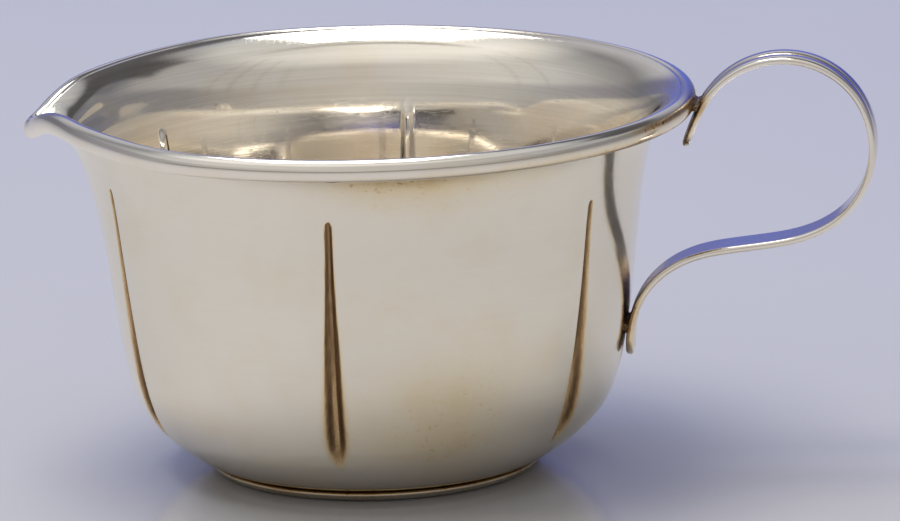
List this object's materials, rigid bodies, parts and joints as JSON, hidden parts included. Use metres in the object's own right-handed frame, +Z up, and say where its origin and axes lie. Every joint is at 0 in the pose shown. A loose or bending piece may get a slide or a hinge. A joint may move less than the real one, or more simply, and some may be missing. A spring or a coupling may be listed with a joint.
{
  "type": "creamer",
  "caption": "Small fluted silver creamer with a flared wire-edged mouth, a pulled pouring lip, a low foot ring and a looped reeded strap handle.",
  "frame": {"origin": "on the table plane under the foot ring, at the centre of the overall footprint box; the bowl's own axis is 11.25 mm from it towards -X", "axes": "+X from the pouring lip towards the handle, +Z up, +Y completes the right-handed frame"},
  "size_m": [0.1186, 0.0922, 0.0582],
  "materials": {
    "bowl_silver": "hand-polished silver with fine wipe scratches, brown tarnish in the flutes and under the rim",
    "wire_silver": "bright polished silver",
    "foot_silver": "polished silver, dulled and tarnished in the corner under the bowl",
    "handle_silver": "polished silver with tarnish at the soldered seats",
    "solder": "dull brown-grey tarnished silver solder"
  },
  "bodies": {
    "root": {"bowl": "bowl_silver", "rim_wire": "wire_silver", "rim_solder_seam": "solder", "foot_ring": "foot_silver", "foot_solder_seam": "solder", "handle": "handle_silver", "handle_upper_solder": "solder", "handle_lower_solder": "solder"}
  },
  "joints": []
}
